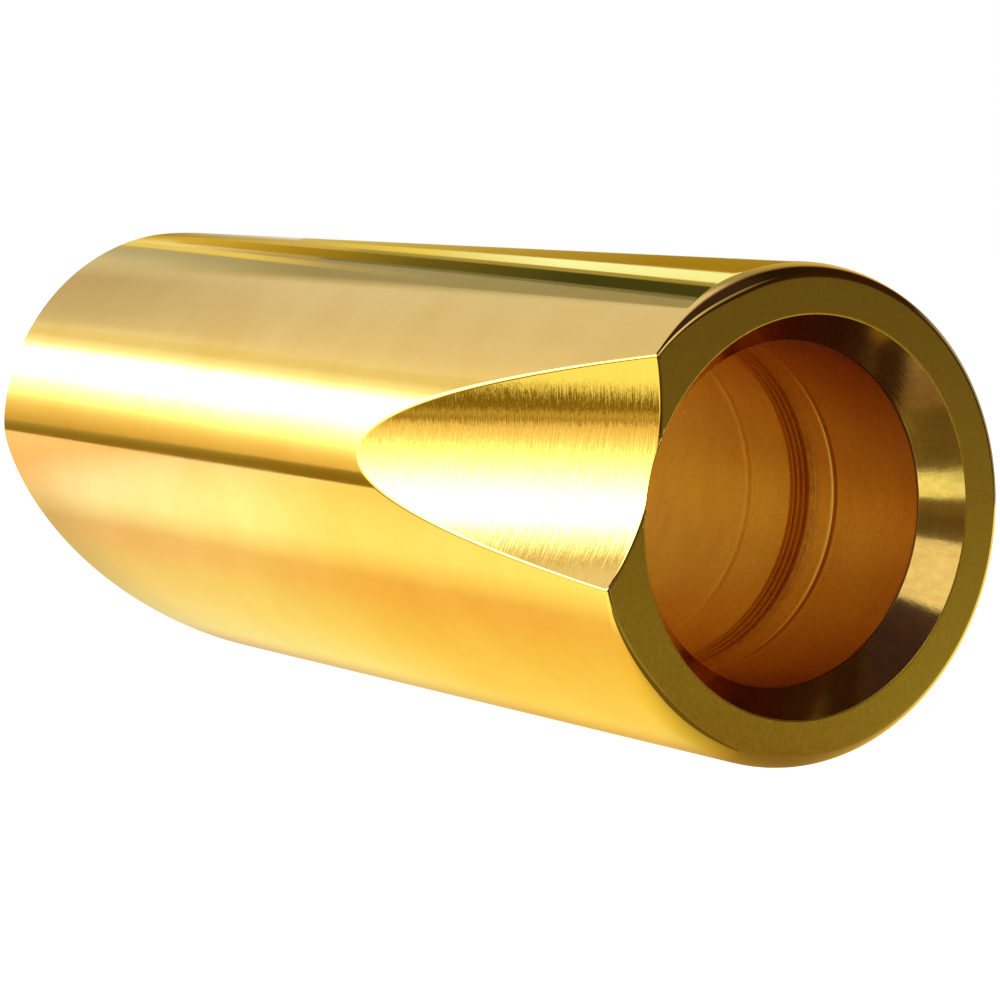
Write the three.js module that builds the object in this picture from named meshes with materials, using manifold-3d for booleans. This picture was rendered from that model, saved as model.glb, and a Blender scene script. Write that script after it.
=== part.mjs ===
// A solid brass guitar slide, turned and bored from one piece of round bar.
//
// Millimetres, +Z up. The slide is level, as on a player's finger: its axis runs along X through the
// origin, the mouth end is at +X, and X = 0 is half way along. An angle around the axis, called a
// bearing, is 0 towards -Y and 90 towards +Z.

import * as THREE from "three";
import { mergeVertices } from "three/addons/utils/BufferGeometryUtils.js";
import Module from "manifold-3d";

// Bar stock
const outerRadius = 12.7;
const length = 65.5;

// Bore and countersunk mouth
const boreRadius = 8.75;
const mouthRadius = 10.15;
const mouthDepth = 2.2;

// Relief ring turned in the bore wall, with sloping sides
const reliefStart = 10.6;
const reliefWidth = 2.2;
const reliefDepth = 0.25;
const reliefSlope = 0.3;

// Rounded and eased edges
const mouthEdgeInset = 0.75;
const mouthEdgeLength = 1.6;
const farEdgeEase = 0.3;
const roundSteps = 8;

// Finger scallop: a round groove that leans out of the bar as it goes back from the mouth end
const scallopRadius = 13.6;
const scallopFloor = 10.1;
const scallopLean = 6.6;
const scallopSkew = 4.5;
const scallopBearing = 11;

// Slanted far end: the cut starts on the long side and leaves the bar shortest on the opposite side
const slantAngle = 43.6;
const slantStart = 9.65;
const longSideBearing = 39.4;

// Facets
const barFacets = 96;
const scallopFacets = 144;

const mouthX = length / 2;
const farX = -length / 2;
const wasm = await Module();
wasm.setup();

function radians(degrees) {
  return THREE.MathUtils.degToRad(degrees);
}

// Unit vector across the axis, at a bearing in degrees.
function across(bearing) {
  return new THREE.Vector3(0, -Math.cos(radians(bearing)), Math.sin(radians(bearing)));
}

// Half section of the turned bar as (radius, x): up the outside, around the mouth, back down the bore.
function barProfile() {
  const points = [
    [boreRadius, farX],
    [outerRadius - farEdgeEase, farX],
    [outerRadius, farX + farEdgeEase],
  ];
  for (let step = 0; step <= roundSteps; step += 1) {
    const turn = (step / roundSteps) * (Math.PI / 2);
    const inset = mouthEdgeInset * (1 - Math.cos(turn));
    const rise = mouthEdgeLength * (1 - Math.sin(turn));
    points.push([outerRadius - inset, mouthX - rise]);
  }
  const reliefMouthSide = mouthX - reliefStart;
  const reliefFarSide = reliefMouthSide - reliefWidth;
  points.push([mouthRadius, mouthX]);
  points.push([boreRadius, mouthX - mouthDepth]);
  points.push([boreRadius, reliefMouthSide]);
  points.push([boreRadius + reliefDepth, reliefMouthSide - reliefSlope]);
  points.push([boreRadius + reliefDepth, reliefFarSide + reliefSlope]);
  points.push([boreRadius, reliefFarSide]);
  points.push([boreRadius, farX]);
  return points.map(([radius, x]) => new THREE.Vector2(radius, x));
}

function turnedBar() {
  const geometry = new THREE.LatheGeometry(barProfile(), barFacets);
  geometry.rotateZ(-Math.PI / 2);
  return geometry;
}

// The grinding drum whose side is the scallop's concave surface.
function scallopDrum() {
  const out = across(scallopBearing);
  const sideways = across(scallopBearing + 90);
  const axis = new THREE.Vector3(-1, 0, 0);
  axis.addScaledVector(out, Math.tan(radians(scallopLean)));
  axis.addScaledVector(sideways, -Math.tan(radians(scallopSkew)));
  axis.normalize();
  const centre = new THREE.Vector3(mouthX, 0, 0);
  centre.addScaledVector(out, scallopFloor + scallopRadius);

  const geometry = new THREE.CylinderGeometry(scallopRadius, scallopRadius, 2 * length, scallopFacets);
  const turn = new THREE.Quaternion().setFromUnitVectors(new THREE.Vector3(0, 1, 0), axis);
  geometry.applyQuaternion(turn);
  geometry.translate(centre.x, centre.y, centre.z);
  return geometry;
}

// A block whose lower face is the slanted end's plane; everything above that plane is cut away.
function slantBlock() {
  const side = 2 * length;
  const longSide = across(longSideBearing);
  const outward = new THREE.Vector3(-Math.cos(radians(slantAngle)), 0, 0);
  outward.addScaledVector(longSide, -Math.sin(radians(slantAngle)));
  const onPlane = new THREE.Vector3(farX, 0, 0).addScaledVector(longSide, slantStart);
  const centre = onPlane.addScaledVector(outward, side / 2);

  const geometry = new THREE.BoxGeometry(side, side, side);
  const turn = new THREE.Quaternion().setFromUnitVectors(new THREE.Vector3(0, 0, 1), outward);
  geometry.applyQuaternion(turn);
  geometry.translate(centre.x, centre.y, centre.z);
  return geometry;
}

// A closed three.js geometry as a solid that can be cut.
function solidOf(geometry) {
  geometry.deleteAttribute("normal");
  geometry.deleteAttribute("uv");
  const merged = mergeVertices(geometry);
  const vertProperties = new Float32Array(merged.attributes.position.array);
  const triVerts = new Uint32Array(merged.index.array);
  return new wasm.Manifold(new wasm.Mesh({ numProp: 3, vertProperties, triVerts }));
}

function geometryOf(solid) {
  const mesh = solid.getMesh();
  const geometry = new THREE.BufferGeometry();
  geometry.setAttribute("position", new THREE.BufferAttribute(mesh.vertProperties, 3));
  geometry.setIndex(new THREE.BufferAttribute(mesh.triVerts, 1));
  geometry.computeVertexNormals();
  return geometry;
}

function slideBody() {
  const solid = solidOf(turnedBar()).subtract(solidOf(scallopDrum())).subtract(solidOf(slantBlock()));
  const brass = new THREE.MeshStandardMaterial({ color: 0xd9a62e, metalness: 1, roughness: 0.18 });
  const mesh = new THREE.Mesh(geometryOf(solid), brass);
  mesh.name = "slide_body";
  return mesh;
}

const slide = new THREE.Group();
slide.add(slideBody());

export default slide;
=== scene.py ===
"""A brass guitar slide on a pale floor: its fine surface, finishes, studio light and camera.

Metres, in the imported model's frame: the slide's axis is the X axis and its countersunk mouth is at +X.
A bearing is an angle around that axis in degrees, 0 towards -Y and 90 towards +Z.
"""

import math

import bmesh
import bpy
import numpy as np
from mathutils import Matrix, Vector
from mathutils.geometry import delaunay_2d_cdt

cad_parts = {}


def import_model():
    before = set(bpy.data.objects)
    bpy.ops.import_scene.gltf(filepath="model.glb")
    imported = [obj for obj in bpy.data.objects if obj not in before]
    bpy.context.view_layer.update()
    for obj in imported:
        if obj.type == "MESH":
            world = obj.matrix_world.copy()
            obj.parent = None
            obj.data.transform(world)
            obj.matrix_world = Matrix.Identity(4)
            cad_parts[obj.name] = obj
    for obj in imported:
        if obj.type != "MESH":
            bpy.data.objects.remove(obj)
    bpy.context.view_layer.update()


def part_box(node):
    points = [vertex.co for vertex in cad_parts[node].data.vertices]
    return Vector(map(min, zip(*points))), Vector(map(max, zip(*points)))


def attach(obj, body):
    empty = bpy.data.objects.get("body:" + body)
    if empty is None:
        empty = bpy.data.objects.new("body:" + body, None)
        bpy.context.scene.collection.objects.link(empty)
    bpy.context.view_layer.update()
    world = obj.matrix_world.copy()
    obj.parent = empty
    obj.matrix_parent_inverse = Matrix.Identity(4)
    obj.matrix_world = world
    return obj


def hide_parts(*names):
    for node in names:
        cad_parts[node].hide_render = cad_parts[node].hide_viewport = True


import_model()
low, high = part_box("slide_body")

MM = 0.001

# Bar stock, from the frame
OUTER = (high.z - low.z) / 2
MOUTH_X = high.x
FAR_X = low.x

# Bore and mouth
BORE = 8.75 * MM
MOUTH = 10.15 * MM
MOUTH_DEPTH = 2.2 * MM
MOUTH_EDGE_INSET = 0.75 * MM
MOUTH_EDGE_LENGTH = 1.6 * MM
MOUTH_EASE = 0.06 * MM
BORE_EASE = 0.08 * MM

# Turned rings on the bore wall: depth from the mouth, half width and height above the wall
BORE_RINGS = (
    (9.0 * MM, 0.26 * MM, 0.05 * MM),
    (16.5 * MM, 0.32 * MM, 0.02 * MM),
)

# Relief ring in the bore wall, in depths from the mouth: its far side is a gentle slope with fine ridges
RELIEF_START = 10.6 * MM
RELIEF_END = 12.8 * MM
RELIEF_DEPTH = 0.25 * MM
RELIEF_SLOPE = 0.3 * MM
RELIEF_FAR_START = 11.45 * MM
RELIEF_RIDGES = (11.74 * MM, 12.10 * MM, 12.46 * MM)
RIDGE_HALF = 0.12 * MM
RIDGE_HEIGHT = 0.010 * MM

# How far the corners of rings and ridges are rounded, to either side
RING_ROUND = 0.05 * MM

# Finger scallop
SCALLOP_RADIUS = 13.6 * MM
SCALLOP_FLOOR = 10.1 * MM
SCALLOP_LEAN = 6.6
SCALLOP_SKEW = 4.5
SCALLOP_BEARING = 11
RIM_WIDTH = 0.13 * MM

# The search for the scallop's outline starts inside it, at a bearing and a distance along the half section
HEART_BEARING = 10
HEART_ALONG = 16 * MM
SEARCH_LENGTH = 20 * MM
HALVINGS = 34
ROUGH_POINTS = 721

# The mouth's outer edge is only eased near the scallop. Degrees from the scallop's bearing: eased within the
# first, fully round beyond the second
TIGHT_EDGE = 0.2 * MM
TIGHT_WITHIN = 27
ROUND_BEYOND = 57

# Slanted far end
SLANT = 43.6
SLANT_START = 9.65 * MM
LONG_SIDE = 39.4
SLANT_BLEND = 0.6 * MM
FAR_EASE = 0.2 * MM

# Mesh density: degrees between columns, metres between rows, and counts
COLUMN_STEP = 1.5
ROW = 0.45 * MM
FINE_ROW = 0.33 * MM
LOOP_POINTS = 420
ROUND_STEPS = 12
EASE_STEPS = 4
CURVE_STEPS = 5
OUTSIDE_ROWS = 40
BORE_ROWS = 16
END_ROWS = 28

# The turned rows run from one x, around the mouth, to another in the bore
ROWS_START_X = 8.5 * MM
ROWS_END_X = -10 * MM

# The patch of triangles around the scallop: its bearings, and how far its points stay from the rim
WINDOW = (-21.0, 43.5)
WINDOW_GAP = 0.09 * MM

# Sizes that count as nothing: two along a path, one in millimetres between triangulated points, and two in
# metres where the mesh is joined up
ROUNDING = 1e-12
HAIR = 1e-9
TRIANGLE_GAP = 1e-6
WELD = 1e-6
SLIVER = 1e-7

# Places of stretches along the half section: the mouth's face, and the ease after the countersink
FACE_STRETCH = 2
BORE_EASE_STRETCH = 5

# The finishes, in the order of the slide's materials, and those of the stretches up to the bore
POLISHED, SATIN, BRUSHED, BORED, TURNED = range(5)
STRETCH_FINISHES = (POLISHED, POLISHED, SATIN, SATIN, TURNED)


# -------- geometry helpers


def across(bearing):
    """Unit vector across the axis, at a bearing in degrees."""
    turn = math.radians(bearing)
    return np.array((0.0, -math.cos(turn), math.sin(turn)))


def unit(v):
    """Vectors scaled to a length of 1. The limit only guards against a division by zero."""
    v = np.asarray(v, float)
    return v / np.maximum(np.linalg.norm(v, axis=-1, keepdims=True), 1e-15)


def split(rows):
    """Rows of (point, normal) pairs, as an array of points and an array of normals."""
    return tuple(np.array([[pair[part] for pair in row] for row in rows]) for part in (0, 1))


def rows_of(place, steps, *lists):
    """Rows of points and normals, each worked out from a share of the way and an item of each list."""
    return split([[place(k / steps, *items) for items in zip(*lists)] for k in range(steps + 1)])


def eased(starts, corners, ends):
    """Rows that ease an edge, curving from one side of it to the other.

    Starts and ends are (point, normal) pairs, and corners are the sharp edge's points between them.
    """

    def place(t, start, corner, end):
        (p1, n1), (p2, n2) = start, end
        return (1 - t) ** 2 * p1 + 2 * t * (1 - t) * corner + t**2 * p2, unit((1 - t) * n1 + t * n2)

    return rows_of(place, CURVE_STEPS, starts, corners, ends)


class Path:
    """A half section of straight stretches with rounded corners.

    A corner is (x, radius, reach before, reach after): its round starts and ends those distances from it.
    """

    def __init__(self, corners):
        self.stretches = []
        self.length = 0.0
        points = [np.array(corner[:2], float) for corner in corners]
        start = points[0]
        for k in range(1, len(points)):
            before, after = corners[k][2:]
            heading = unit(points[k] - points[k - 1])
            self._add("line", float(np.linalg.norm(points[k] - before * heading - start)), start, heading)
            start = points[k]
            if before > 0:
                onward = unit(points[k + 1] - points[k])
                size = (before + after) * math.pi / 4
                self._add("round", size, points[k], heading, onward, before, after)
                start = points[k] + after * onward

    def _add(self, kind, size, *shape):
        self.stretches.append((kind, self.length, size, shape))
        self.length += size

    def stretch(self, s):
        """Which stretch a distance s along falls in."""
        for k, (_, begin, size, _) in enumerate(self.stretches):
            if s <= begin + size + ROUNDING:
                return k
        return len(self.stretches) - 1

    def at(self, s):
        """x, radius, and the outward normal's x and radial parts, a distance s along."""
        kind, begin, size, shape = self.stretches[self.stretch(s)]
        if kind == "line":
            start, way = shape
            point = start + (s - begin) * way
        else:
            corner, heading, onward, before, after = shape
            turn = min(1.0, (s - begin) / size) * math.pi / 2
            point = corner - before * (1 - math.sin(turn)) * heading + after * (1 - math.cos(turn)) * onward
            way = unit(before * math.cos(turn) * heading + after * math.sin(turn) * onward)
        return point[0], point[1], -way[1], way[0]

    def rows(self, spacing):
        """Distances that sample the path: evenly on straight stretches, in fixed steps around corners."""
        found = [0.0]
        for kind, begin, size, _ in self.stretches:
            if size < HAIR:
                continue
            steps = math.ceil(size / spacing)
            if kind == "round":
                steps = ROUND_STEPS if size > EASE_STEPS * FINE_ROW else EASE_STEPS
            found += [begin + size * (k + 1) / steps for k in range(steps)]
        return found


class Skin:
    """Points with exact normals, and faces with a finish each, joined into one mesh at the end."""

    def __init__(self):
        self.points, self.normals, self.faces, self.finishes = [], [], [], []

    def add(self, points, normals):
        """Takes in points with their normals, and returns the first one's index."""
        first = len(self.points)
        self.points += [tuple(p) for p in points]
        self.normals += [tuple(n) for n in normals]
        return first

    def face(self, corners, finish):
        """A face whose winding agrees with its corners' normals."""
        a, b, c = (np.array(self.points[corners[k]]) for k in (0, 1, -1))
        facing = sum(np.array(self.normals[k]) for k in corners)
        if np.cross(b - a, c - a) @ facing < 0:
            corners = corners[::-1]
        self.faces.append(tuple(corners))
        self.finishes.append(finish)

    def sheet(self, points, normals, finish, keep=None):
        """Quads between rows of points that run around the axis. A finish may depend on the row."""
        rows, columns = points.shape[:2]
        first = self.add(points.reshape(-1, 3), normals.reshape(-1, 3))
        for i in range(rows - 1):
            for j in range(columns):
                if keep is not None and not keep(i, j):
                    continue
                a = first + i * columns + j
                b = first + i * columns + (j + 1) % columns
                self.face([a, b, b + columns, a + columns], finish(i) if callable(finish) else finish)

    def patch(self, made, triples, finishes):
        """Triangles between (point, normal) pairs, with a finish for each."""
        first = self.add([point for point, _ in made], [normal for _, normal in made])
        for triple, finish in zip(triples, finishes):
            self.face([first + int(k) for k in triple], finish)

    def mesh(self, name):
        """The mesh, with points that coincide joined and the exact normals kept."""
        made = bmesh.new()
        layer = made.verts.layers.float_vector.new("exact")
        verts = []
        for point, normal in zip(self.points, self.normals):
            vert = made.verts.new(point)
            vert[layer] = normal
            verts.append(vert)
        for corners, finish in zip(self.faces, self.finishes):
            face = made.faces.new([verts[k] for k in corners])
            face.material_index = finish
            face.smooth = True
        bmesh.ops.remove_doubles(made, verts=made.verts, dist=WELD)
        bmesh.ops.dissolve_degenerate(made, edges=made.edges, dist=SLIVER)
        loose = [v for v in made.verts if not v.link_faces]
        bmesh.ops.delete(made, geom=loose, context="VERTS")
        data = bpy.data.meshes.new(name)
        made.to_mesh(data)
        made.free()
        normals = np.zeros(len(data.vertices) * 3, np.float32)
        data.attributes["exact"].data.foreach_get("vector", normals)
        data.normals_split_custom_set_from_vertices(unit(normals.reshape(-1, 3)).tolist())
        data.attributes.remove(data.attributes["exact"])
        return data


# -------- the slide's surfaces


def bore_corners():
    """The bore wall's corners, from the mouth inwards: tool rings, and a relief ring with fine ridges."""
    corners = [(MOUTH_X - MOUTH_DEPTH, BORE, BORE_EASE, BORE_EASE)]

    def corner(depth, radius):
        corners.append((MOUTH_X - depth, radius, RING_ROUND, RING_ROUND))

    def wall_radius(depth):
        inside = (RELIEF_END - depth) / (RELIEF_END - RELIEF_FAR_START)
        return BORE + RELIEF_DEPTH * inside if RELIEF_FAR_START <= depth <= RELIEF_END else BORE

    def ring(depth, half, height):
        corner(depth - half, wall_radius(depth - half))
        corner(depth, wall_radius(depth) - height)
        corner(depth + half, wall_radius(depth + half))

    near_ring, far_ring = BORE_RINGS
    ring(*near_ring)
    corner(RELIEF_START, BORE)
    corner(RELIEF_START + RELIEF_SLOPE, BORE + RELIEF_DEPTH)
    corner(RELIEF_FAR_START, BORE + RELIEF_DEPTH)
    for depth in RELIEF_RIDGES:
        ring(depth, RIDGE_HALF, RIDGE_HEIGHT)
    corner(RELIEF_END, BORE)
    ring(*far_ring)
    corners.append((ROWS_END_X, BORE, 0, 0))
    return corners


def scallop_drum():
    """The grinding drum's centre and three unit vectors: its axis, in towards the bar, and sideways."""
    out = across(SCALLOP_BEARING)
    sideways = across(SCALLOP_BEARING + 90)
    axis = np.array((-1.0, 0.0, 0.0))
    axis = axis + math.tan(math.radians(SCALLOP_LEAN)) * out
    axis = unit(axis - math.tan(math.radians(SCALLOP_SKEW)) * sideways)
    centre = np.array((MOUTH_X, 0.0, 0.0)) + (SCALLOP_FLOOR + SCALLOP_RADIUS) * out
    inward = unit(-out + (out @ axis) * axis)
    return centre, axis, inward, np.cross(axis, inward)


DRUM_CENTRE, DRUM_AXIS, DRUM_DOWN, DRUM_SIDE = scallop_drum()


def outside_corners(edge_length, edge_inset):
    """Corners of the outside, the mouth's outer edge and its inner edge."""
    return [
        (ROWS_START_X, OUTER, 0, 0),
        (MOUTH_X, OUTER, edge_length, edge_inset),
        (MOUTH_X, MOUTH, MOUTH_EASE, MOUTH_EASE),
    ]


# Half sections: down to the bore, all the way into the bore, and down to the bore with a tight outer edge
cone_end = [(MOUTH_X - MOUTH_DEPTH, BORE, 0, 0)]
outside = Path(outside_corners(MOUTH_EDGE_LENGTH, MOUTH_EDGE_INSET) + cone_end)
wall = Path(outside_corners(MOUTH_EDGE_LENGTH, MOUTH_EDGE_INSET) + bore_corners())
tight = Path(outside_corners(TIGHT_EDGE, TIGHT_EDGE) + cone_end)


def tightness(bearing):
    """How far the mouth's outer edge has tightened at a bearing, and how fast that changes per radian."""
    away = (bearing - SCALLOP_BEARING + 180) % 360 - 180
    t = (ROUND_BEYOND - abs(away)) / (ROUND_BEYOND - TIGHT_WITHIN)
    t = min(1.0, max(0.0, t))
    rate = -math.copysign(6 * t * (1 - t), away) / math.radians(ROUND_BEYOND - TIGHT_WITHIN)
    return t * t * (3 - 2 * t), rate


def turned(path, bearing, s):
    """Point and normal on a turned surface, at a bearing and a distance along its half section."""
    x, radius, normal_x, normal_r = path.at(s)
    out, sideways = across(bearing), across(bearing + 90)
    share, rate = tightness(bearing)
    k = path.stretch(s)
    if share == 0 or k > FACE_STRETCH:
        return np.array((x, 0, 0)) + radius * out, np.array((normal_x, 0, 0)) + normal_r * out
    begin, size = path.stretches[k][1:3]
    tight_begin, tight_size = tight.stretches[k][1:3]
    fraction = min(1.0, max(0.0, (s - begin) / size))
    tight_x, tight_radius, tight_nx, tight_nr = tight.at(tight_begin + fraction * tight_size)
    size_shares = np.array((1 - share, share)) * (size, tight_size)
    normal_x, normal_r = unit(size_shares @ ((normal_x, normal_r), (tight_nx, tight_nr)))
    slip = normal_x * (tight_x - x) + normal_r * (tight_radius - radius)
    x += share * (tight_x - x)
    radius += share * (tight_radius - radius)
    normal = unit(np.array((normal_x, 0, 0)) + normal_r * out - slip * rate / radius * sideways)
    return np.array((x, 0, 0)) + radius * out, normal


def on_drum(around, along):
    """Point and normal on the scallop, at arc and axial distances on its drum."""
    turn = around / SCALLOP_RADIUS
    reach = math.cos(turn) * DRUM_DOWN + math.sin(turn) * DRUM_SIDE
    return DRUM_CENTRE + along * DRUM_AXIS + SCALLOP_RADIUS * reach, -reach


def drum_place(point):
    """Where a point lies on the drum: arc distance, axial distance, and depth inside the drum."""
    offset = point - DRUM_CENTRE
    along = offset @ DRUM_AXIS
    radial = offset - along * DRUM_AXIS
    turn = math.atan2(radial @ DRUM_SIDE, radial @ DRUM_DOWN)
    return turn * SCALLOP_RADIUS, along, SCALLOP_RADIUS - np.linalg.norm(radial)


def scallop_outline():
    """The scallop's closed edge, as (bearing arc, distance along the half section) on the bar's surface."""
    heart = np.array((math.radians(HEART_BEARING) * OUTER, HEART_ALONG))

    def reach(angle):
        """The outline's place in one direction, found by halving."""
        way = np.array((math.cos(angle), math.sin(angle)))
        near, far = 0.0, SEARCH_LENGTH
        for _ in range(HALVINGS):
            middle = (near + far) / 2
            place = heart + middle * way
            point, _ = turned(outside, math.degrees(place[0] / OUTER), np.clip(place[1], 0, outside.length))
            if drum_place(point)[2] > 0 and 0 < place[1] < outside.length:
                near = middle
            else:
                far = middle
        return heart + near * way

    angles = np.linspace(0, 2 * math.pi, ROUGH_POINTS)
    rough = np.array([reach(a) for a in angles])
    gone = np.concatenate(([0], np.cumsum(np.linalg.norm(np.diff(rough, axis=0), axis=1))))
    even = np.interp(np.linspace(0, gone[-1], LOOP_POINTS, endpoint=False), gone, angles)
    return np.array([reach(a) for a in even])


def offset_loop(loop, distance):
    """A closed counter-clockwise loop moved outwards by a distance."""
    tangent = unit(np.roll(loop, -1, axis=0) - np.roll(loop, 1, axis=0))
    outward = np.stack((tangent[:, 1], -tangent[:, 0]), axis=1)
    return loop + distance * outward


def within(loop, places):
    """Which places lie inside a closed loop."""
    ends = np.roll(loop, -1, axis=0)
    inside = np.zeros(len(places), bool)
    for (x0, y0), (x1, y1) in zip(loop, ends):
        if y0 == y1:
            continue
        spans = (places[:, 1] < y0) != (places[:, 1] < y1)
        inside ^= spans & (places[:, 0] < x0 + (places[:, 1] - y0) * (x1 - x0) / (y1 - y0))
    return inside


def spaced_from(loop, places, gap):
    """Which places are at least a gap away from the loop's points."""
    nearest = np.full(len(places), np.inf)
    for point in loop:
        nearest = np.minimum(nearest, np.linalg.norm(places - point, axis=1))
    return nearest > gap


def triangles(loop, extra, inside):
    """Delaunay triangles over the places, on one side of the loop: (places, triples)."""
    count = len(loop)
    scaled = [Vector(p) for p in np.concatenate((loop, extra)) / MM]
    ring = [(k, (k + 1) % count) for k in range(count)]
    verts, _, faces = delaunay_2d_cdt(scaled, ring, [], 0, TRIANGLE_GAP)[:3]
    places = np.array([tuple(v) for v in verts]) * MM
    triples = np.array([tuple(f) for f in faces if len(f) == 3])
    middles = places[triples].mean(axis=1)
    return places, triples[within(loop, middles) == inside]


def finish_at(s):
    """The finish of the bar's surface, a distance along its half section."""
    return STRETCH_FINISHES[outside.stretch(s)]


def scallop(skin, loop):
    """The scallop's brushed floor and its narrow polished rim. Returns the rim's outer loop on the bar."""
    crease = np.array([turned(outside, math.degrees(u / OUTER), v)[0] for u, v in loop])
    on_bar = offset_loop(loop, RIM_WIDTH)
    bar_side = [turned(outside, math.degrees(u / OUTER), v) for u, v in on_bar]
    floor_loop = np.array([drum_place(p)[:2] for p in crease])
    mirror = math.copysign(1, np.cross(floor_loop, np.roll(floor_loop, -1, axis=0)).sum())
    floor_loop = offset_loop(floor_loop * (mirror, 1), -RIM_WIDTH)

    def floor_point(place):
        return on_drum(mirror * place[0], place[1])

    skin.sheet(*eased(bar_side, crease, [floor_point(p) for p in floor_loop]), POLISHED)

    lows, highs = floor_loop.min(axis=0), floor_loop.max(axis=0)
    across_floor = np.arange(lows[0], highs[0], FINE_ROW)
    along_floor = np.arange(lows[1], highs[1], FINE_ROW)
    grid = np.array([(u, v) for u in across_floor for v in along_floor])
    grid = grid[within(floor_loop, grid) & spaced_from(floor_loop, grid, FINE_ROW / 2)]
    places, triples = triangles(floor_loop, grid, True)
    skin.patch([floor_point(p) for p in places], triples, [BRUSHED] * len(triples))
    return on_bar


def window(skin, on_bar, rows):
    """The bar's surface around the scallop: a patch of triangles that fits the turned rows at its sides."""
    columns = np.arange(WINDOW[0], WINDOW[1] + COLUMN_STEP / 2, COLUMN_STEP)
    arcs = np.radians(columns) * OUTER
    edge, inner = [], []
    for i, s in enumerate(rows):
        for j, u in enumerate(arcs):
            on_edge = i in (0, len(rows) - 1) or j in (0, len(arcs) - 1)
            (edge if on_edge else inner).append((u, s))
    inner = np.array(inner)
    inner = inner[~within(on_bar, inner) & spaced_from(on_bar, inner, WINDOW_GAP)]
    places, triples = triangles(on_bar, np.concatenate((np.array(edge), inner)), False)
    made = [turned(outside, math.degrees(u / OUTER), min(max(s, 0), outside.length)) for u, s in places]
    skin.patch(made, triples, [finish_at(places[triple].mean(axis=0)[1]) for triple in triples])


def end_x(y, z):
    """The far end's surface, with a round where the slant meets the flat: x at a place, and its normal."""
    side = across(LONG_SIDE)
    slope = math.tan(math.radians(SLANT))
    slant_x = FAR_X + slope * (SLANT_START - (y * side[1] + z * side[2]))
    gap = slant_x - FAR_X
    blend = max(0.0, 1 - abs(gap) / SLANT_BLEND)
    share = min(1.0, max(0.0, 0.5 + 0.5 * gap / SLANT_BLEND))
    x = max(FAR_X, slant_x) + SLANT_BLEND * blend**2 / 4
    normal = np.array((-1.0, -share * slope * side[1], -share * slope * side[2]))
    return x, unit(normal)


def far_edge(bearings, radius, inward):
    """An eased edge where the far end meets the outside or the bore: rows from the turned side to the end."""
    edge, end_normals = [], []
    for b in bearings:
        out = across(b) * radius
        x, normal = end_x(out[1], out[2])
        edge.append(out + (x, 0, 0))
        end_normals.append(normal)
    edge = np.array(edge)
    tangent = unit(np.roll(edge, -1, axis=0) - np.roll(edge, 1, axis=0))
    facing = -1 if inward else 1
    turned_side, end_side = [], []
    for b, corner, way, normal in zip(bearings, edge, tangent, end_normals):
        out = across(b)
        along_wall = np.cross(way, out)
        along_wall *= np.sign(along_wall[0])
        p1 = corner + FAR_EASE * along_wall
        p1[1:] *= radius / np.hypot(p1[1], p1[2])
        turned_side.append((p1, unit(p1 * (0, 1, 1)) * facing))
        along_end = np.cross(way, normal)
        along_end *= np.sign(along_end @ out) * -facing
        p2 = corner + FAR_EASE * along_end
        p2[0] = end_x(p2[1], p2[2])[0]
        end_side.append((p2, normal))
    return eased(turned_side, edge, end_side)


def plain_wall(skin, bearings, ends, x, radius, inward, steps, finish):
    """The turned wall between an eased far edge and a level row at x."""

    def place(t, bearing, end):
        start = math.degrees(math.atan2(end[2], -end[1]))
        turn = (bearing - start + 180) % 360 - 180
        out = across(start + t * turn)
        return radius * out + ((1 - t) * end[0] + t * x, 0, 0), -out if inward else out

    skin.sheet(*rows_of(place, steps, bearings, ends), finish)


def end_face(skin, outer_row, inner_row):
    """The far end's face, between its outer and inner eased edges."""

    def place(t, outer, inner):
        y, z = (1 - t) * outer[1:] + t * inner[1:]
        x, normal = end_x(y, z)
        return (x, y, z), normal

    skin.sheet(*rows_of(place, END_ROWS, outer_row, inner_row), SATIN)


def slide_mesh():
    """The whole slide: turned rows, the scallop and the patch around it, and the slanted far end."""
    skin = Skin()
    bearings = np.arange(-180, 180, COLUMN_STEP)
    rows = wall.rows(ROW)
    bore_begins = wall.stretches[BORE_EASE_STRETCH][1]
    window_rows = [s for s in rows if s <= bore_begins + HAIR]
    shared = window_rows[-1]

    def outside_window(i, j):
        return not (rows[i + 1] <= shared + HAIR and WINDOW[0] <= bearings[j] < WINDOW[1])

    def finish(i):
        middle = (rows[i] + rows[i + 1]) / 2
        return finish_at(middle) if middle < shared else BORED

    made = split([[turned(wall, b, s) for b in bearings] for s in rows])
    skin.sheet(*made, finish, keep=outside_window)
    on_bar = scallop(skin, scallop_outline())
    window(skin, on_bar, window_rows)

    outer_points, outer_normals = far_edge(bearings, OUTER, False)
    inner_points, inner_normals = far_edge(bearings, BORE, True)
    skin.sheet(outer_points, outer_normals, POLISHED)
    skin.sheet(inner_points, inner_normals, SATIN)
    plain_wall(skin, bearings, outer_points[0], ROWS_START_X, OUTER, False, OUTSIDE_ROWS, POLISHED)
    plain_wall(skin, bearings, inner_points[0], ROWS_END_X, BORE, True, BORE_ROWS, BORED)
    end_face(skin, outer_points[-1], inner_points[-1])
    return skin.mesh("slide")


# -------- finishes


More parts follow.
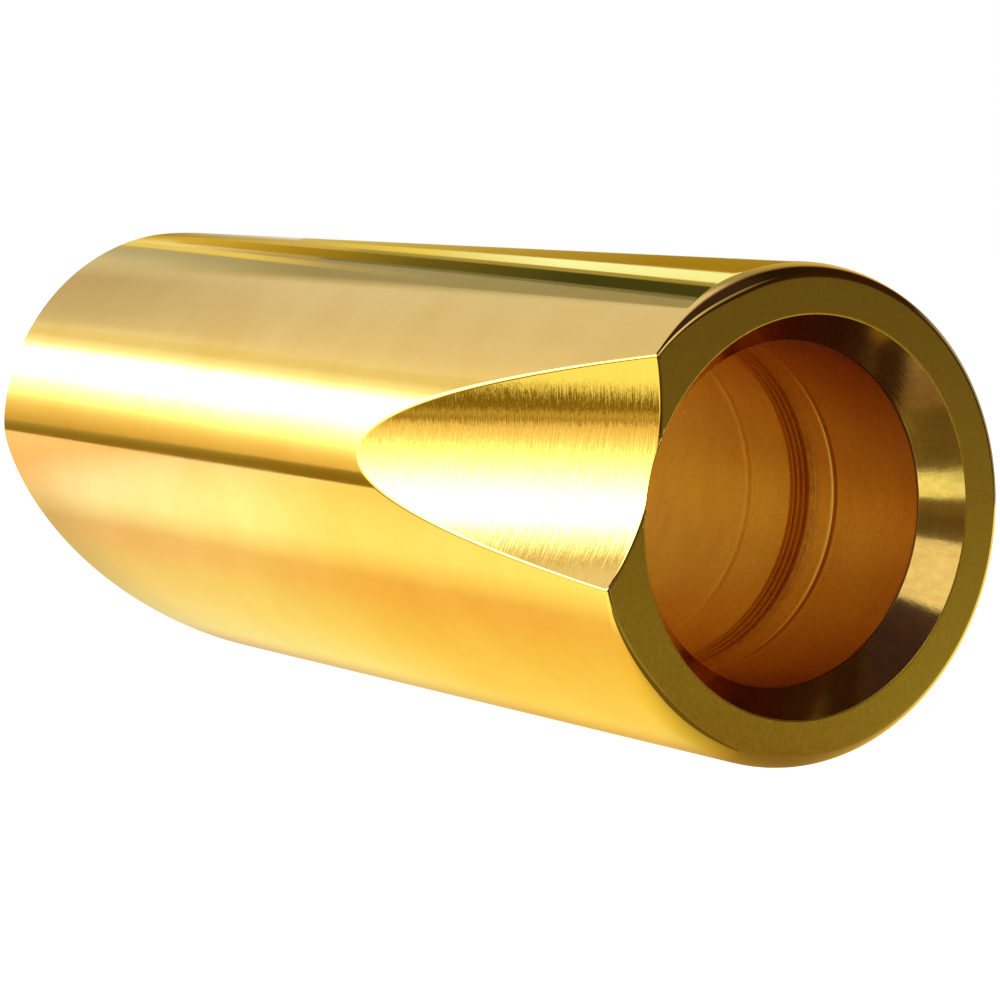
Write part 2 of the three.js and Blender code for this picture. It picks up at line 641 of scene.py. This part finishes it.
class Nodes:
    """A new material's nodes, and short ways to add to them. A value is a socket, a number or a colour."""

    def __init__(self, name):
        self.material = bpy.data.materials.new(name)
        self.material.use_nodes = True
        self.tree = self.material.node_tree

    def node(self, kind, inputs=(), **settings):
        """A new node with these settings. Its inputs are pairs of a socket's name or number and a value."""
        made = self.tree.nodes.new(kind)
        for key, value in settings.items():
            setattr(made, key, value)
        for socket, value in inputs:
            self.put(value, made.inputs[socket])
        return made

    def put(self, value, socket):
        """Feeds a socket. A tuple is a colour."""
        if isinstance(value, bpy.types.NodeSocket):
            self.tree.links.new(value, socket)
        else:
            socket.default_value = (*value, 1) if isinstance(value, tuple) else value

    def maths(self, operation, *values):
        """What a Math node makes of up to three values."""
        return self.node("ShaderNodeMath", enumerate(values), operation=operation).outputs["Value"]

    def range(self, value, low_in, high_in, low_out=0.0, high_out=1.0, ease="LINEAR"):
        """A value's place between two limits, as a place between two others."""
        inputs = enumerate((value, low_in, high_in, low_out, high_out))
        return self.node("ShaderNodeMapRange", inputs, interpolation_type=ease).outputs["Result"]

    def mix(self, share, first, second, way="MIX"):
        """Two colours mixed by a share. The numbers pick the node's colour sockets."""
        inputs = (("Factor", share), (6, first), (7, second))
        return self.node("ShaderNodeMix", inputs, data_type="RGBA", blend_type=way).outputs[2]


# Directions along which a finish's grain is stretched
ALONG = (1, 0, 0)
TO_BACK = (0, 1, 0)
UPWARDS = (0, 0, 1)
# Most of a noise's values lie between these two
NOISE_SPAN = (0.3, 0.7)
NOISE_ROUGHNESS = 0.6


class Finish(Nodes):
    """One Principled material: a plain brass, whose colour, roughness and bump then vary."""

    def __init__(self, name, colour, roughness):
        super().__init__(name)
        self.shader = self.tree.nodes["Principled BSDF"]
        self.drive("Metallic", 1.0)
        self.drive("Base Color", colour)
        self.drive("Roughness", roughness)
        self.place = self.node("ShaderNodeTexCoord").outputs["Object"]

    def drive(self, socket, value):
        self.put(value, self.shader.inputs[socket])

    def along(self, direction, scale=1):
        """A place's distance along a direction, times a scale."""
        dot = self.node("ShaderNodeVectorMath", [(0, self.place)], operation="DOT_PRODUCT")
        dot.inputs[1].default_value = tuple(float(v) * scale for v in direction)
        return dot.outputs["Value"]

    def radius(self, scale):
        """A place's distance from the slide's axis, times a scale."""
        flat = self.node("ShaderNodeVectorMath", [(0, self.place)], operation="MULTIPLY")
        flat.inputs[1].default_value = (0, scale, scale)
        inputs = [(0, flat.outputs["Vector"])]
        return self.node("ShaderNodeVectorMath", inputs, operation="LENGTH").outputs["Value"]

    def away(self, value, centre):
        """How far a value is from a centre, to either side."""
        return self.maths("ABSOLUTE", self.maths("SUBTRACT", value, centre))

    def noise(self, vector, scale, detail):
        inputs = {"Vector": vector, "Scale": scale, "Detail": detail, "Roughness": NOISE_ROUGHNESS}
        return self.node("ShaderNodeTexNoise", inputs.items()).outputs["Fac"]

    def grain(self, *places, detail):
        """A noise over up to three scaled distances, which stretch it."""
        vector = self.node("ShaderNodeCombineXYZ", enumerate(places)).outputs["Vector"]
        return self.noise(vector, 1, detail)

    def bump(self, *layers):
        """Bump from (height, strength, distance) layers, one on top of another."""
        normal = None
        for height, strength, distance in layers:
            inputs = {"Height": height, "Strength": strength, "Distance": distance}
            if normal is not None:
                inputs["Normal"] = normal
            normal = self.node("ShaderNodeBump", inputs.items()).outputs["Normal"]
        self.drive("Normal", normal)


BRASS = (0.90, 0.66, 0.22)
BRASS_DEEP = (0.86, 0.60, 0.17)
SATIN_PALE = (0.86, 0.58, 0.09)
SATIN_DEEP = (0.74, 0.47, 0.06)
TURNED_PALE = (0.80, 0.55, 0.24)
TURNED_DEEP = (0.68, 0.44, 0.20)
BORED_PALE = (0.94, 0.72, 0.29)
BORED_DEEP = (0.85, 0.58, 0.22)
# The bore's tarnish: in clouds and in the relief ring. Painted shade near the mouth, away from the middle
# height, and a painted highlight on the nearest tool ring
TARNISH = (0.76, 0.46, 0.20)
MOUTH_PAINTED_SHADE = (0.32, 0.15, 0.17)
RELIEF_TARNISH = (0.50, 0.30, 0.16)
RING_PAINTED_HIGHLIGHT = (1.0, 0.86, 0.45)


def polished_brass():
    f = Finish("polished_brass", BRASS, 0.06)
    clouds = f.noise(f.place, scale=160, detail=4)
    wipes = f.grain(f.along(ALONG, 120), f.radius(300), f.along(UPWARDS, 900), detail=3)
    f.drive("Base Color", f.mix(f.range(clouds, 0.35, 0.7), BRASS, BRASS_DEEP))
    f.drive("Roughness", f.range(wipes, *NOISE_SPAN, 0.045, 0.085))
    f.bump((clouds, 0.02, 0.2 * MM))
    return f.material


def satin_brass():
    f = Finish("satin_brass", BRASS, 0.36)
    rings = f.grain(f.radius(9000), f.along(ALONG, 9000), detail=2)
    grain = f.noise(f.place, scale=5000, detail=2)
    f.drive("Base Color", f.mix(f.range(grain, *NOISE_SPAN), SATIN_PALE, SATIN_DEEP))
    f.drive("Roughness", f.range(grain, *NOISE_SPAN, 0.30, 0.40))
    f.bump((rings, 0.12, 0.02 * MM), (grain, 0.2, 0.03 * MM))
    return f.material


def brushed_brass():
    """Strokes run around the scallop's drum, so the grain is much finer along its axis."""
    f = Finish("brushed_brass", BRASS, 0.2)
    strokes = f.grain(f.along(DRUM_AXIS, 9000), f.along(DRUM_SIDE, 700), detail=3)
    broad = f.grain(f.along(DRUM_AXIS, 3000), f.along(DRUM_SIDE, 330), detail=2)
    f.drive("Base Color", f.mix(f.range(strokes, *NOISE_SPAN), BRASS, BRASS_DEEP))
    f.drive("Roughness", f.range(broad, *NOISE_SPAN, 0.05, 0.10))
    f.bump((strokes, 0.55, 0.03 * MM), (broad, 0.35, 0.05 * MM))
    return f.material


def bored_brass():
    """Fine rings and grain, tarnished in clouds and in the relief ring, with painted shade towards the
    mouth's sides and a painted highlight on the nearest tool ring.
    """
    f = Finish("bored_brass", BRASS, 0.22)
    x = f.along(ALONG)
    rings = f.grain(f.along(ALONG, 6000), detail=3)
    grain = f.noise(f.place, scale=7000, detail=3)
    broad = f.grain(f.along(ALONG, 420), f.along(TO_BACK, 160), f.along(UPWARDS, 160), detail=4)
    mottle = f.noise(f.place, scale=1700, detail=3)

    tone = f.mix(f.range(grain, 0.36, 0.64), BORED_PALE, BORED_DEEP)
    tone = f.mix(f.range(broad, 0.42, 0.70, 0, 0.5), tone, TARNISH)
    # Painted shade: the wall darkens towards the mouth and away from its middle height
    near_mouth = f.range(x, MOUTH_X - 15 * MM, MOUTH_X - 1 * MM, 0.15, 0.9)
    aside = f.range(f.away(f.along(UPWARDS), -1 * MM), 1.5 * MM, 7.5 * MM, 0.1, 1)
    tone = f.mix(f.maths("MULTIPLY", near_mouth, aside), tone, MOUTH_PAINTED_SHADE)
    relief_x = MOUTH_X - (RELIEF_START + RELIEF_FAR_START) / 2
    in_relief = f.range(f.away(x, relief_x), 0.3 * MM, 0.9 * MM, 1, 0)
    spotted = f.range(mottle, 0.35, 0.6, 0.35, 0.9)
    tone = f.mix(f.maths("MULTIPLY", in_relief, spotted), tone, RELIEF_TARNISH)
    # Painted highlight: a pale band over the nearest tool ring
    ring_x = MOUTH_X - BORE_RINGS[0][0]
    ring_highlight = f.range(f.away(x, ring_x), 0.12 * MM, 0.34 * MM, 0.55, 0)
    f.drive("Base Color", f.mix(ring_highlight, tone, RING_PAINTED_HIGHLIGHT))
    f.drive("Roughness", f.range(grain, *NOISE_SPAN, 0.18, 0.28))
    f.bump((rings, 0.3, 0.03 * MM), (grain, 0.16, 0.02 * MM), (mottle, 0.10, 0.03 * MM))
    return f.material


def turned_brass():
    f = Finish("turned_brass", BRASS, 0.09)
    rings = f.grain(f.along(ALONG, 9000), detail=2)
    chatter = f.grain(f.along(ALONG, 300), f.along(TO_BACK, 2600), f.along(UPWARDS, 2600), detail=3)
    f.drive("Base Color", f.mix(f.range(chatter, 0.35, 0.7), TURNED_PALE, TURNED_DEEP))
    f.drive("Roughness", f.range(rings, *NOISE_SPAN, 0.09, 0.14))
    f.bump((rings, 0.12, 0.02 * MM), (chatter, 0.12, 0.02 * MM))
    return f.material


# -------- stage, light and camera


class Glow(Nodes):
    """A light-giving material whose colour follows ramps, and whose strength can fade along X."""

    def __init__(self, name):
        super().__init__(name)
        self.tree.nodes.clear()
        self.light = self.node("ShaderNodeEmission")
        self.node("ShaderNodeOutputMaterial", [("Surface", self.light.outputs["Emission"])])

    def colour(self, colour):
        self.put(colour, self.light.inputs["Color"])
        return self

    def parts(self, turn=0.0):
        """The place's x, y and z, after a turn in degrees around X."""
        place = self.node("ShaderNodeTexCoord").outputs["Object"]
        inputs = (("Vector", place), ("Angle", math.radians(turn)))
        turned_place = self.node("ShaderNodeVectorRotate", inputs, rotation_type="X_AXIS").outputs["Vector"]
        return self.node("ShaderNodeSeparateXYZ", [(0, turned_place)]).outputs

    def ramp(self, share, stops):
        """Colours from (place, red, green, blue) stops. A share of 0 is the first place and 1 the last."""
        first, last = stops[0][0], stops[-1][0]
        made = self.node("ShaderNodeValToRGB")
        elements = made.color_ramp.elements
        elements.remove(elements[-1])
        for k, (place, *colour) in enumerate(stops):
            position = (place - first) / (last - first)
            stop = elements[0] if k == 0 else elements.new(position)
            stop.position = position
            stop.color = (*colour, 1)
        self.put(share, made.inputs["Fac"])
        return made.outputs["Color"]

    def by_value(self, value, stops):
        """Colours by a value, which the stops' places are given in."""
        return self.ramp(self.range(value, stops[0][0], stops[-1][0]), stops)

    def by_bearing(self, stops, drift=()):
        """Colours by bearing around the slide's axis.

        The place is turned first so that the middle of the stops lies ahead, far from where bearings jump.
        A drift is spans of (x, degrees, x, degrees) along X, which add up.
        """
        first, last = stops[0][0], stops[-1][0]
        parts = self.parts((first + last) / 2)
        bearing = self.maths("ARCTAN2", parts["Z"], self.maths("MULTIPLY", parts["Y"], -1))
        for x1, shift1, x2, shift2 in drift:
            shift = self.range(self.parts()["X"], x1, x2, -math.radians(shift1), -math.radians(shift2))
            bearing = self.maths("ADD", bearing, shift)
        half = math.radians((last - first) / 2)
        return self.ramp(self.range(bearing, -half, half), stops)

    def slanted(self, slope):
        """Distance along X, plus a slope times the distance to either side of the slide."""
        parts = self.parts()
        return self.maths("MULTIPLY_ADD", self.maths("ABSOLUTE", parts["Y"]), slope, parts["X"])

    def fade(self, start, end, left, slope=0.0):
        """Strength falls from 1 to what is left, between two places along X or a slant across it."""
        strength = self.range(self.slanted(slope), start, end, 1.0, left, ease="SMOOTHSTEP")
        self.put(strength, self.light.inputs["Strength"])
        return self


def staged(name, points, faces, material, seen=False):
    """A stage piece. Unless it is seen, it shows only as a reflection."""
    data = bpy.data.meshes.new(name)
    data.from_pydata(points, [], faces)
    data.materials.append(material)
    made = bpy.data.objects.new(name, data)
    bpy.context.scene.collection.objects.link(made)
    if not seen:
        made.visible_camera = False
        made.visible_shadow = False
        made.visible_diffuse = False


CARD_ROWS = 12
CARD_COLUMNS = 60


def curved_card(name, radius, near, far, material):
    """A card curved around the slide's axis. Each end is (x, low bearing, high bearing)."""
    points, faces = [], []
    for i in range(CARD_ROWS + 1):
        t = i / CARD_ROWS
        x, first, last = ((1 - t) * a + t * b for a, b in zip(near, far))
        for j in range(CARD_COLUMNS + 1):
            out = across(first + (last - first) * j / CARD_COLUMNS) * radius
            points.append((x, out[1], out[2]))
    for i in range(CARD_ROWS):
        for j in range(CARD_COLUMNS):
            k = i * (CARD_COLUMNS + 1) + j
            faces.append((k, k + 1, k + CARD_COLUMNS + 2, k + CARD_COLUMNS + 1))
    staged(name, points, faces, material)


def tent_card(name, radius, span, stops, material):
    """A curved card between two places along X, as wide as its colour stops."""
    first, last = stops[0][0], stops[-1][0]
    curved_card(name, radius, (span[0], first, last), (span[1], first, last), material)


def floor_card(name, layer, corners, material):
    """A card that lies just above the floor. The higher its layer, the more cards it covers."""
    points = [(x, y, low.z + layer * FLOOR_LAYER) for x, y in corners]
    staged(name, points, [tuple(range(len(points)))], material)


# The tent of curved cards around the slide. Each kind of card lies at its own share of the radius
TENT_RADIUS = 0.30
TENT_LEFT = -0.95
CEILING_RIGHT = 0.60
STRIP_SHARE = 0.998
STREAK_SHARE = 0.995
STREAK_SHARE_STEP = 0.001
BACK_SHARE = 0.97
BACK_STRIP_SHARE = 0.96

# Cards on the table: a layer's height above it, how far right and to the sides the table goes, how far the
# dark room goes beyond it, and the y where the room's unlit part ends
FLOOR_LAYER = 0.01 * MM
RIGHT = 0.12
SIDE = 0.40
ROOM = 2.0
UNLIT_TO = -0.03
TABLE_EDGE = ((TENT_LEFT, -SIDE), (RIGHT, -SIDE), (RIGHT, SIDE), (TENT_LEFT, SIDE))

# Light falls off between two places, to what is left of it
CEILING_FADE = (-0.18, -0.09, 0.05)
BACK_FADE = (0.20, 0.13, 0.02)
TABLE_FADE = (0.0225, 0.0335, 0.3)
TABLE_FADE_SLOPE = -0.6

# The far colours take over between two places
CEILING_TURN = (-0.50, -0.585)
TABLE_TURN = (-0.012, -0.027)
TABLE_SLOPE = 1.5

# Ends of the back's cards along X, and of the unlit card in front of the mouth
BACK_SPAN = (0.42, 0.13)
BACK_STRIP_SPAN = (0.10, -0.14)
UNLIT_ENDS = ((CEILING_RIGHT, -6, 50), (0.152, -6, 50))

# Colours by bearing: the front strip, how it drifts along X and where its top is, and the ceiling and back
FRONT_STRIP = (
    (-4, 0.75, 0.52, 0.16),
    (1, 0.98, 0.72, 0.28),
    (5, 1.10, 0.92, 0.42),
    (9, 1.35, 1.35, 0.80),
    (13, 2.6, 2.6, 1.5),
    (18, 5.0, 4.6, 2.6),
    (24, 6.0, 6.0, 5.0),
    (35, 6.0, 6.0, 6.0),
    (42, 1.4, 1.4, 1.2),
    (48, 0.95, 0.88, 0.6),
)
STRIP_DRIFT = ((-0.20, 7, -0.255, 0), (-0.32, -6.5, -0.62, 4))
STRIP_TOPS = ((0.15, 42), (0.0, 44), (-0.20, 49), (-0.255, 42), (-0.60, 57), (-0.95, 57))
CEILING = (
    (36, 0.66, 0.54, 0.27),
    (46, 0.68, 0.56, 0.28),
    (51, 1.0, 0.94, 0.82),
    (61, 0.89, 0.82, 0.76),
    (78, 0.80, 0.75, 0.72),
    (102, 0.79, 0.75, 0.68),
    (106, 0.58, 0.54, 0.40),
    (110, 0.38, 0.36, 0.22),
    (118, 0.36, 0.34, 0.20),
    (140, 0.62, 0.45, 0.10),
    (158, 0.72, 0.56, 0.20),
    (165, 1.0, 1.0, 0.92),
    (192, 1.0, 1.0, 0.95),
)
# The ceiling turns redder towards its dark near end
CEILING_TINT = ((-0.18, 1.0, 1.0, 1.0), (-0.09, 1.15, 0.66, 0.66))
CEILING_FAR = (
    (36, 1.1, 1.1, 1.0),
    (57, 0.95, 0.90, 0.78),
    (61, 0.76, 0.70, 0.58),
    (70, 0.66, 0.60, 0.50),
    (94, 0.58, 0.50, 0.38),
    (104, 0.66, 0.62, 0.48),
    (112, 0.68, 0.66, 0.50),
    (124, 0.50, 0.50, 0.36),
    (130, 0.55, 0.50, 0.25),
    (135, 1.0, 0.95, 0.60),
    (140, 0.95, 0.80, 0.25),
    (147, 0.70, 0.50, 0.06),
    (156, 0.44, 0.29, 0.03),
    (163, 0.42, 0.31, 0.06),
    (171, 0.46, 0.36, 0.10),
    (192, 0.40, 0.31, 0.09),
)

# Streaks on the ceiling, and two patches near the mouth: (x, low bearing, high bearing) at each end, and
# colours by x. Where there is only one colour, its x is not used
STREAKS = (
    ("half_dark", (-0.30, 100, 106), (-0.50, 110, 131), ((0, 0.38, 0.37, 0.26),)),
    ("dark_low", (-0.30, 101.5, 105.5), (-0.50, 127.5, 132.5), ((0, 0.22, 0.22, 0.12),)),
    ("dark", (-0.30, 104.5, 114), (-0.57, 139, 152), (
        (-0.57, 0.72, 0.50, 0.06), (-0.52, 0.48, 0.32, 0.02),
        (-0.46, 0.16, 0.13, 0.02), (-0.40, 0.06, 0.065, 0.015),
    )),
    ("warm_gap", (-0.30, 114, 117.5), (-0.49, 141, 146), ((0, 0.42, 0.34, 0.08),)),
    ("bright", (-0.30, 117.5, 130), (-0.51, 149, 159), (
        (-0.51, 0.70, 0.53, 0.10), (-0.46, 0.90, 0.76, 0.14), (-0.41, 1.05, 1.20, 0.70),
    )),
    ("deep_gold", (-0.30, 132, 170), (-0.52, 160, 171), (
        (-0.52, 0.66, 0.52, 0.14), (-0.44, 0.52, 0.36, 0.05), (-0.38, 0.40, 0.25, 0.015),
    )),
    ("far_bright", (-0.45, 112, 117), (-0.66, 141, 149), (
        (-0.53, 0.90, 0.74, 0.22), (-0.49, 0.52, 0.46, 0.24), (-0.45, 0.40, 0.38, 0.26),
    )),
    ("mouth_light", (0.03, 8.5, 43), (0.15, 8.5, 42), ((0, 1.10, 1.06, 0.60),)),
    ("front_gap", (0.03, -4, 8.5), (0.20, -4, 8.5), ((0, 0.13, 0.088, 0.018),)),
)

# Table colours by y beside the slide, and further left
TABLE = (
    (-0.06, 1.25, 1.18, 0.85),
    (-0.028, 1.30, 1.40, 1.10),
    (-0.0225, 1.28, 1.36, 1.02),
    (-0.019, 1.15, 1.10, 0.68),
    (-0.0163, 1.04, 0.80, 0.42),
    (-0.014, 1.06, 0.79, 0.38),
    (-0.0109, 1.08, 0.92, 0.38),
    (-0.0075, 1.11, 1.02, 0.42),
    (-0.005, 1.08, 1.02, 0.40),
    (-0.004, 1.02, 0.82, 0.30),
    (-0.003, 0.78, 0.60, 0.25),
    (-0.002, 0.82, 0.62, 0.30),
    (0.004, 1.0, 0.85, 0.60),
    (0.02, 1.0, 0.95, 0.80),
)
TABLE_FAR = (
    (-0.06, 1.25, 0.93, 0.50),
    (-0.028, 1.22, 0.80, 0.44),
    (-0.019, 0.90, 0.70, 0.41),
    (-0.0163, 0.68, 0.64, 0.37),
    (-0.0109, 0.58, 0.59, 0.37),
    (-0.005, 0.58, 0.59, 0.40),
    (0.004, 0.9, 0.8, 0.60),
    (0.02, 1.0, 0.95, 0.80),
)
# A tint over the table, by a slanted distance along it
TABLE_TINT = (
    (-0.012, 0.96, 0.95, 1.25),
    (0.006, 1.0, 1.0, 1.0),
    (0.02, 1.0, 0.86, 0.55),
    (0.032, 1.0, 0.86, 0.55),
    (0.07, 1.0, 1.02, 0.58),
)
# The dark far edge of the table, with its colours by x, and a lighter patch of it
HORIZON_EDGE = ((-0.031, -SIDE), (-0.031, -0.068), (-0.11, -0.086), (TENT_LEFT, -0.116), (TENT_LEFT, -SIDE))
HORIZON = (
    (-0.50, 0.46, 0.38, 0.14),
    (-0.25, 0.32, 0.22, 0.03),
    (-0.14, 0.28, 0.18, 0.015),
    (-0.03, 0.22, 0.15, 0.01),
)
HORIZON_PATCH = (0.66, 0.50, 0.14)
PATCH_EDGE = ((-0.15, -0.30), (-0.08, -0.30), (-0.08, -0.142), (-0.15, -0.142))

# Dark cards on the table to the right of the slide, and the dim room that its right side matches
SHADE = (0.15, 0.11, 0.02)
SHADE_EDGE = ((0.0335, -0.003), (0.041, -0.003), (0.041, -0.020), (0.0365, -0.020))
LOW_GAP = (0.16, 0.11, 0.02)
LOW_GAP_EDGE = ((0.042, -0.048), (0.085, -0.048), (0.115, -SIDE), (0.065, -SIDE))
UNLIT = (0.04, 0.022, 0.010)
UNLIT_EDGE = ((RIGHT, -SIDE), (ROOM, -ROOM), (ROOM, UNLIT_TO), (RIGHT, UNLIT_TO))
UNLIT_NEAR_EDGE = ((0.050, -0.008), (RIGHT, -0.008), (RIGHT, -SIDE), (0.066, -SIDE), (0.050, -0.034))
DIM = (0.125, 0.09, 0.028)
SIDE_EDGE = ((RIGHT, UNLIT_TO), (ROOM, UNLIT_TO), (ROOM, ROOM), (RIGHT, SIDE))

# Cards that light the back: a soft one high up, and a low strip
BACK_LIGHT = (
    (50, 0.12, 0.10, 0.05),
    (62, 0.75, 0.70, 0.56),
    (76, 1.0, 0.96, 0.84),
    (94, 0.80, 0.72, 0.56),
    (108, 0.25, 0.20, 0.12),
    (118, 0.05, 0.03, 0.02),
)
BACK_STRIP = (
    (153, 0.04, 0.03, 0.02),
    (161, 0.42, 0.42, 0.44),
    (176, 0.40, 0.40, 0.42),
    (192, 0.34, 0.34, 0.34),
)
BORE_LIGHT = (0.58, 0.43, 0.14)
BORE_CARD_CORNERS = 72
BORE_CARD_INSET = 0.1 * MM
BORE_CARD_DEPTH = 0.4 * MM


def tent():
    """The front strip, the ceiling and the streaks on it."""
    front = Glow("front_strip")
    front.colour(front.by_bearing(FRONT_STRIP, STRIP_DRIFT))
    bottom = FRONT_STRIP[0][0]
    for k, ((x1, top1), (x2, top2)) in enumerate(zip(STRIP_TOPS, STRIP_TOPS[1:])):
        ends = (x1, bottom, top1), (x2, bottom, top2)
        curved_card(f"front_strip_{k}", TENT_RADIUS * STRIP_SHARE, *ends, front.material)

    ceiling = Glow("ceiling")
    far_share = ceiling.range(ceiling.slanted(0), *CEILING_TURN)
    plain = ceiling.mix(far_share, ceiling.by_bearing(CEILING), ceiling.by_bearing(CEILING_FAR))
    tint = ceiling.by_value(ceiling.parts()["X"], CEILING_TINT)
    ceiling.colour(ceiling.mix(1.0, plain, tint, "MULTIPLY"))
    ceiling.fade(*CEILING_FADE)
    tent_card("ceiling", TENT_RADIUS, (CEILING_RIGHT, TENT_LEFT), CEILING, ceiling.material)

    for order, (name, near, far, stops) in enumerate(STREAKS):
        streak = Glow("streak_" + name)
        streak.colour(streak.by_value(streak.parts()["X"], stops) if len(stops) > 1 else stops[0][1:])
        share = STREAK_SHARE - STREAK_SHARE_STEP * order
        curved_card("streak_" + name, TENT_RADIUS * share, near, far, streak.material)


def back_cards():
    """The cards that light the slide's back."""
    light = Glow("back_light")
    light.colour(light.by_bearing(BACK_LIGHT))
    light.fade(*BACK_FADE)
    tent_card("back_light", TENT_RADIUS * BACK_SHARE, BACK_SPAN, BACK_LIGHT, light.material)
    strip = Glow("back_strip")
    strip.colour(strip.by_bearing(BACK_STRIP))
    tent_card("back_strip", TENT_RADIUS * BACK_STRIP_SHARE, BACK_STRIP_SPAN, BACK_STRIP, strip.material)


def table_cards(unlit):
    """The coloured table, its dark far edge, and the dark cards to the right of the slide."""
    table = Glow("table")
    far_share = table.range(table.slanted(TABLE_SLOPE), *TABLE_TURN)
    tint = table.by_value(table.slanted(TABLE_SLOPE), TABLE_TINT)
    aside = table.parts()["Y"]
    plain = table.mix(far_share, table.by_value(aside, TABLE), table.by_value(aside, TABLE_FAR))
    table.colour(table.mix(1.0, plain, tint, "MULTIPLY"))
    table.fade(*TABLE_FADE, slope=TABLE_FADE_SLOPE)
    floor_card("table", 2, TABLE_EDGE, table.material)

    horizon = Glow("horizon")
    horizon.colour(horizon.by_value(horizon.parts()["X"], HORIZON))
    floor_card("horizon", 4, HORIZON_EDGE, horizon.material)
    floor_card("horizon_patch", 6, PATCH_EDGE, Glow("horizon_patch").colour(HORIZON_PATCH).material)
    floor_card("shade", 5, SHADE_EDGE, Glow("shade").colour(SHADE).material)
    floor_card("side", 2, SIDE_EDGE, Glow("side").colour(DIM).material)
    floor_card("unlit", 2, UNLIT_EDGE, unlit)
    floor_card("unlit_near", 5, UNLIT_NEAR_EDGE, unlit)
    floor_card("low_gap", 7, LOW_GAP_EDGE, Glow("low_gap").colour(LOW_GAP).material)


def far_bore_card():
    """A warm, dim card just inside the far opening, which is what the bore's wall reflects."""
    points = []
    for k in range(BORE_CARD_CORNERS):
        out = across(k * 360 / BORE_CARD_CORNERS) * (BORE - BORE_CARD_INSET)
        points.append((end_x(out[1], out[2])[0] + BORE_CARD_DEPTH, out[1], out[2]))
    material = Glow("bore_card").colour(BORE_LIGHT).material
    staged("bore_card", points, [tuple(range(BORE_CARD_CORNERS))], material)


def studio():
    """Soft strips and cards around the slide, and reflectors on the table, seen only as reflections."""
    tent()
    back_cards()
    unlit = Glow("unlit").colour(UNLIT).material
    curved_card("front_unlit", TENT_RADIUS * BACK_SHARE, *UNLIT_ENDS, unlit)
    table_cards(unlit)
    far_bore_card()


FLOOR_GREY = (0.8, 0.8, 0.8)
FLOOR_ROUGHNESS = 0.9
FLOOR_REACH = 4.0


def floor():
    """A plain white table, lit from within so that it is as white as the backdrop."""
    white = Nodes("floor_white")
    inputs = white.tree.nodes["Principled BSDF"].inputs
    white.put(FLOOR_GREY, inputs["Base Color"])
    white.put(FLOOR_ROUGHNESS, inputs["Roughness"])
    white.put((1, 1, 1), inputs["Emission Color"])
    white.put(1.0, inputs["Emission Strength"])
    corners = [(x * FLOOR_REACH, y * FLOOR_REACH, low.z) for x, y in ((-1, -1), (1, -1), (1, 1), (-1, 1))]
    staged("floor", corners, [(0, 1, 2, 3)], white.material, seen=True)


def world():
    """A white backdrop for the camera, and a dim warm room for everything else."""
    made = bpy.data.worlds.new("studio")
    bpy.context.scene.world = made
    made.use_nodes = True
    nodes, links = made.node_tree.nodes, made.node_tree.links
    nodes.clear()
    backdrop = nodes.new("ShaderNodeBackground")
    backdrop.inputs["Color"].default_value = (1, 1, 1, 1)
    room = nodes.new("ShaderNodeBackground")
    room.inputs["Color"].default_value = (*DIM, 1)
    ray = nodes.new("ShaderNodeLightPath")
    mix = nodes.new("ShaderNodeMixShader")
    output = nodes.new("ShaderNodeOutputWorld")
    links.new(ray.outputs["Is Camera Ray"], mix.inputs["Fac"])
    links.new(room.outputs["Background"], mix.inputs[1])
    links.new(backdrop.outputs["Background"], mix.inputs[2])
    links.new(mix.outputs["Shader"], output.inputs["Surface"])


# The camera at the photograph's angle: its place, and the directions to its right and behind it
CAMERA_PLACE = (0.17033, -0.11062, 0.01265)
CAMERA_RIGHT = (0.55253, 0.83216, 0.04714)
CAMERA_BACK = (0.82915, -0.55454, 0.07073)
# Millimetres, and the nearest distance shown in metres
LENS = 127.83
SENSOR_WIDTH = 36
NEAREST = 0.005


def camera():
    data = bpy.data.cameras.new("camera")
    data.lens = LENS
    data.sensor_width = SENSOR_WIDTH
    data.clip_start = NEAREST
    made = bpy.data.objects.new("camera", data)
    right = Vector(CAMERA_RIGHT).normalized()
    back = Vector(CAMERA_BACK).normalized()
    up = back.cross(right).normalized()
    right = up.cross(back)
    turn = Matrix((right, up, back)).transposed()
    made.matrix_world = Matrix.Translation(CAMERA_PLACE) @ turn.to_4x4()
    bpy.context.scene.collection.objects.link(made)
    bpy.context.scene.camera = made


# -------- the scene

# Enough for light to bounce out of the bore
GLOSSY_BOUNCES = 12

body = bpy.data.objects.new("brass_slide", slide_mesh())
bpy.context.scene.collection.objects.link(body)
for finish in (polished_brass(), satin_brass(), brushed_brass(), bored_brass(), turned_brass()):
    body.data.materials.append(finish)
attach(body, "root")
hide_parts("slide_body")

floor()
studio()
world()
camera()
bpy.context.scene.view_settings.view_transform = "Standard"
bpy.context.scene.cycles.glossy_bounces = GLOSSY_BOUNCES
